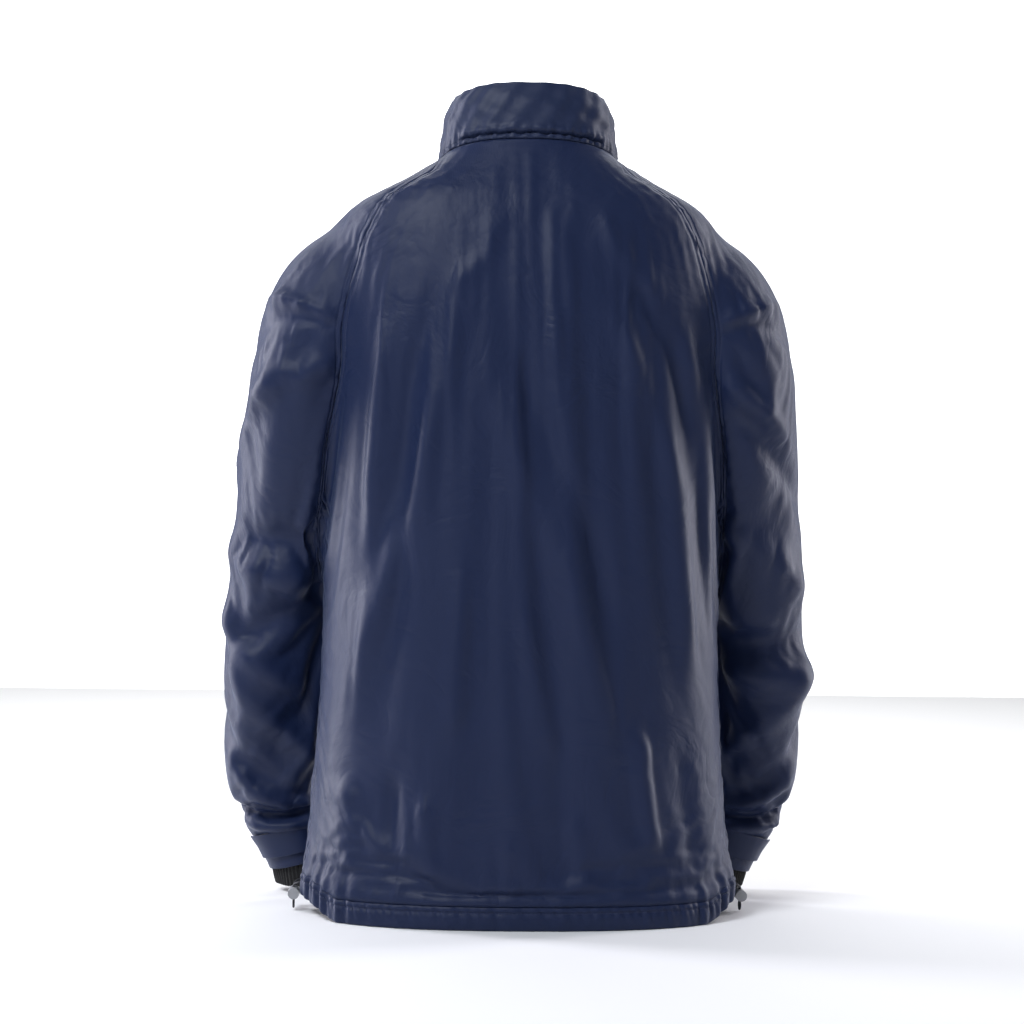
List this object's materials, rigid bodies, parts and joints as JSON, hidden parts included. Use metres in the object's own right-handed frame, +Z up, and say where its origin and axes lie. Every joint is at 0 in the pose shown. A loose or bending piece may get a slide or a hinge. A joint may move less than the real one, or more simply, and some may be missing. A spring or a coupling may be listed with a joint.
{
  "type": "foul weather jacket",
  "caption": "Hip-length nylon sailing jacket with raglan sleeves, a tall collar holding a packed hood, a front zip and an elastic hem.",
  "frame": {"origin": "middle of the footprint, on the surface that the hem stands on", "axes": "+Z up, +Y the way the wearer faces, +X the wearer's right"},
  "size_m": [0.6028, 0.292, 0.804],
  "materials": {
    "shell_nylon": "satin",
    "collar_nylon": "satin",
    "mesh_lining": "matte",
    "black_knit": "matte",
    "label": "matte",
    "zip_metal": "satin",
    "elastic_cord": "matte",
    "black_plastic": "satin",
    "zip_tape": "matte"
  },
  "bodies": {
    "jacket": {"back_panel": "shell_nylon", "main_zip_tape_right": "zip_tape", "main_zip_teeth_right": "black_plastic", "main_zip_tape_left": "zip_tape", "main_zip_teeth_left": "black_plastic", "main_zip_box": "black_plastic", "storm_flap": "shell_nylon", "chin_guard": "collar_nylon", "pocket_zip_tape_right": "zip_tape", "pocket_zip_teeth_right": "black_plastic", "front_panel_right": "shell_nylon", "sleeve_right": "shell_nylon", "pocket_bag_right": "mesh_lining", "pocket_zip_tape_left": "zip_tape", "pocket_zip_teeth_left": "black_plastic", "front_panel_left": "shell_nylon", "sleeve_left": "shell_nylon", "pocket_bag_left": "mesh_lining", "collar_shell": "collar_nylon", "collar_facing": "mesh_lining", "stowed_hood": "shell_nylon", "hood_slit_loop_tape": "zip_tape", "hood_slit_hook_tape": "zip_tape", "body_lining": "mesh_lining", "neck_tape": "zip_tape", "hanging_loop": "zip_tape", "size_label": "label", "inner_cuff_right": "black_knit", "cuff_patch_right": "zip_tape", "inner_cuff_left": "black_knit", "cuff_patch_left": "zip_tape", "hem_band_back": "shell_nylon", "hem_band_front_right": "shell_nylon", "hem_band_front_left": "shell_nylon", "hem_drawcord_back": "elastic_cord", "hem_drawcord_front_right": "elastic_cord", "hem_eyelet_back_right": "zip_metal", "hem_eyelet_front_right": "zip_metal", "cord_loop_right": "elastic_cord", "cord_lock_body_right": "black_plastic", "hem_drawcord_front_left": "elastic_cord", "hem_eyelet_back_left": "zip_metal", "hem_eyelet_front_left": "zip_metal", "cord_loop_left": "elastic_cord", "cord_lock_body_left": "black_plastic"},
    "main_zip_slider": {"main_zip_slider": "zip_metal"},
    "main_zip_puller": {"main_zip_puller": "zip_metal"},
    "pocket_zip_left_slider": {"pocket_zip_left_slider": "zip_metal"},
    "pocket_zip_left_puller": {"pocket_zip_left_puller": "zip_metal"},
    "pocket_zip_right_slider": {"pocket_zip_right_slider": "zip_metal"},
    "pocket_zip_right_puller": {"pocket_zip_right_puller": "zip_metal"},
    "cuff_tab_left": {"cuff_tab_left": "shell_nylon"},
    "cord_lock_button_left": {"cord_lock_button_left": "black_plastic", "cord_lock_spring_left": "zip_metal"},
    "cuff_tab_right": {"cuff_tab_right": "shell_nylon"},
    "cord_lock_button_right": {"cord_lock_button_right": "black_plastic", "cord_lock_spring_right": "zip_metal"}
  },
  "joints": [
    {"name": "main_zip_travel", "type": "slide", "parent": "jacket", "child": "main_zip_slider", "axis": [0, -0.045, 0.999], "range_m": [-0.745, 0]},
    {"name": "main_zip_puller_swing", "type": "hinge", "parent": "main_zip_slider", "child": "main_zip_puller", "pos_m": [0, 0.07938, 0.76941], "axis": [1, 0, 0], "range_deg": [0, 165]},
    {"name": "pocket_zip_travel_left", "type": "slide", "parent": "jacket", "child": "pocket_zip_left_slider", "axis": [0.1553, 0.0037, 0.9879], "range_m": [-0.112, 0]},
    {"name": "pocket_zip_puller_swing_left", "type": "hinge", "parent": "pocket_zip_left_slider", "child": "pocket_zip_left_puller", "pos_m": [-0.09742, 0.08797, 0.31974], "axis": [0.9415, 0.3023, -0.1491], "range_deg": [0, 165]},
    {"name": "pocket_zip_travel_right", "type": "slide", "parent": "jacket", "child": "pocket_zip_right_slider", "axis": [-0.1553, 0.0037, 0.9879], "range_m": [-0.112, 0]},
    {"name": "pocket_zip_puller_swing_right", "type": "hinge", "parent": "pocket_zip_right_slider", "child": "pocket_zip_right_puller", "pos_m": [0.09742, 0.08797, 0.31974], "axis": [0.9415, -0.3023, 0.1491], "range_deg": [0, 165]},
    {"name": "cuff_tab_open_left", "type": "hinge", "parent": "jacket", "child": "cuff_tab_left", "pos_m": [-0.25398, 0.09673, 0.03369], "axis": [0.4889, 0.1502, -0.8593], "range_deg": [0, 100]},
    {"name": "cuff_tab_open_right", "type": "hinge", "parent": "jacket", "child": "cuff_tab_right", "pos_m": [0.25398, 0.09673, 0.03369], "axis": [0.4889, -0.1502, 0.8593], "range_deg": [0, 100]},
    {"name": "cord_lock_press_left", "type": "slide", "parent": "jacket", "child": "cord_lock_button_left", "axis": [0, -1, 0], "range_m": [0, 0.0025], "stiffness_N_per_m": 800, "springref_m": -0.001},
    {"name": "cord_lock_press_right", "type": "slide", "parent": "jacket", "child": "cord_lock_button_right", "axis": [0, -1, 0], "range_m": [0, 0.0025], "stiffness_N_per_m": 800, "springref_m": -0.001}
  ]
}
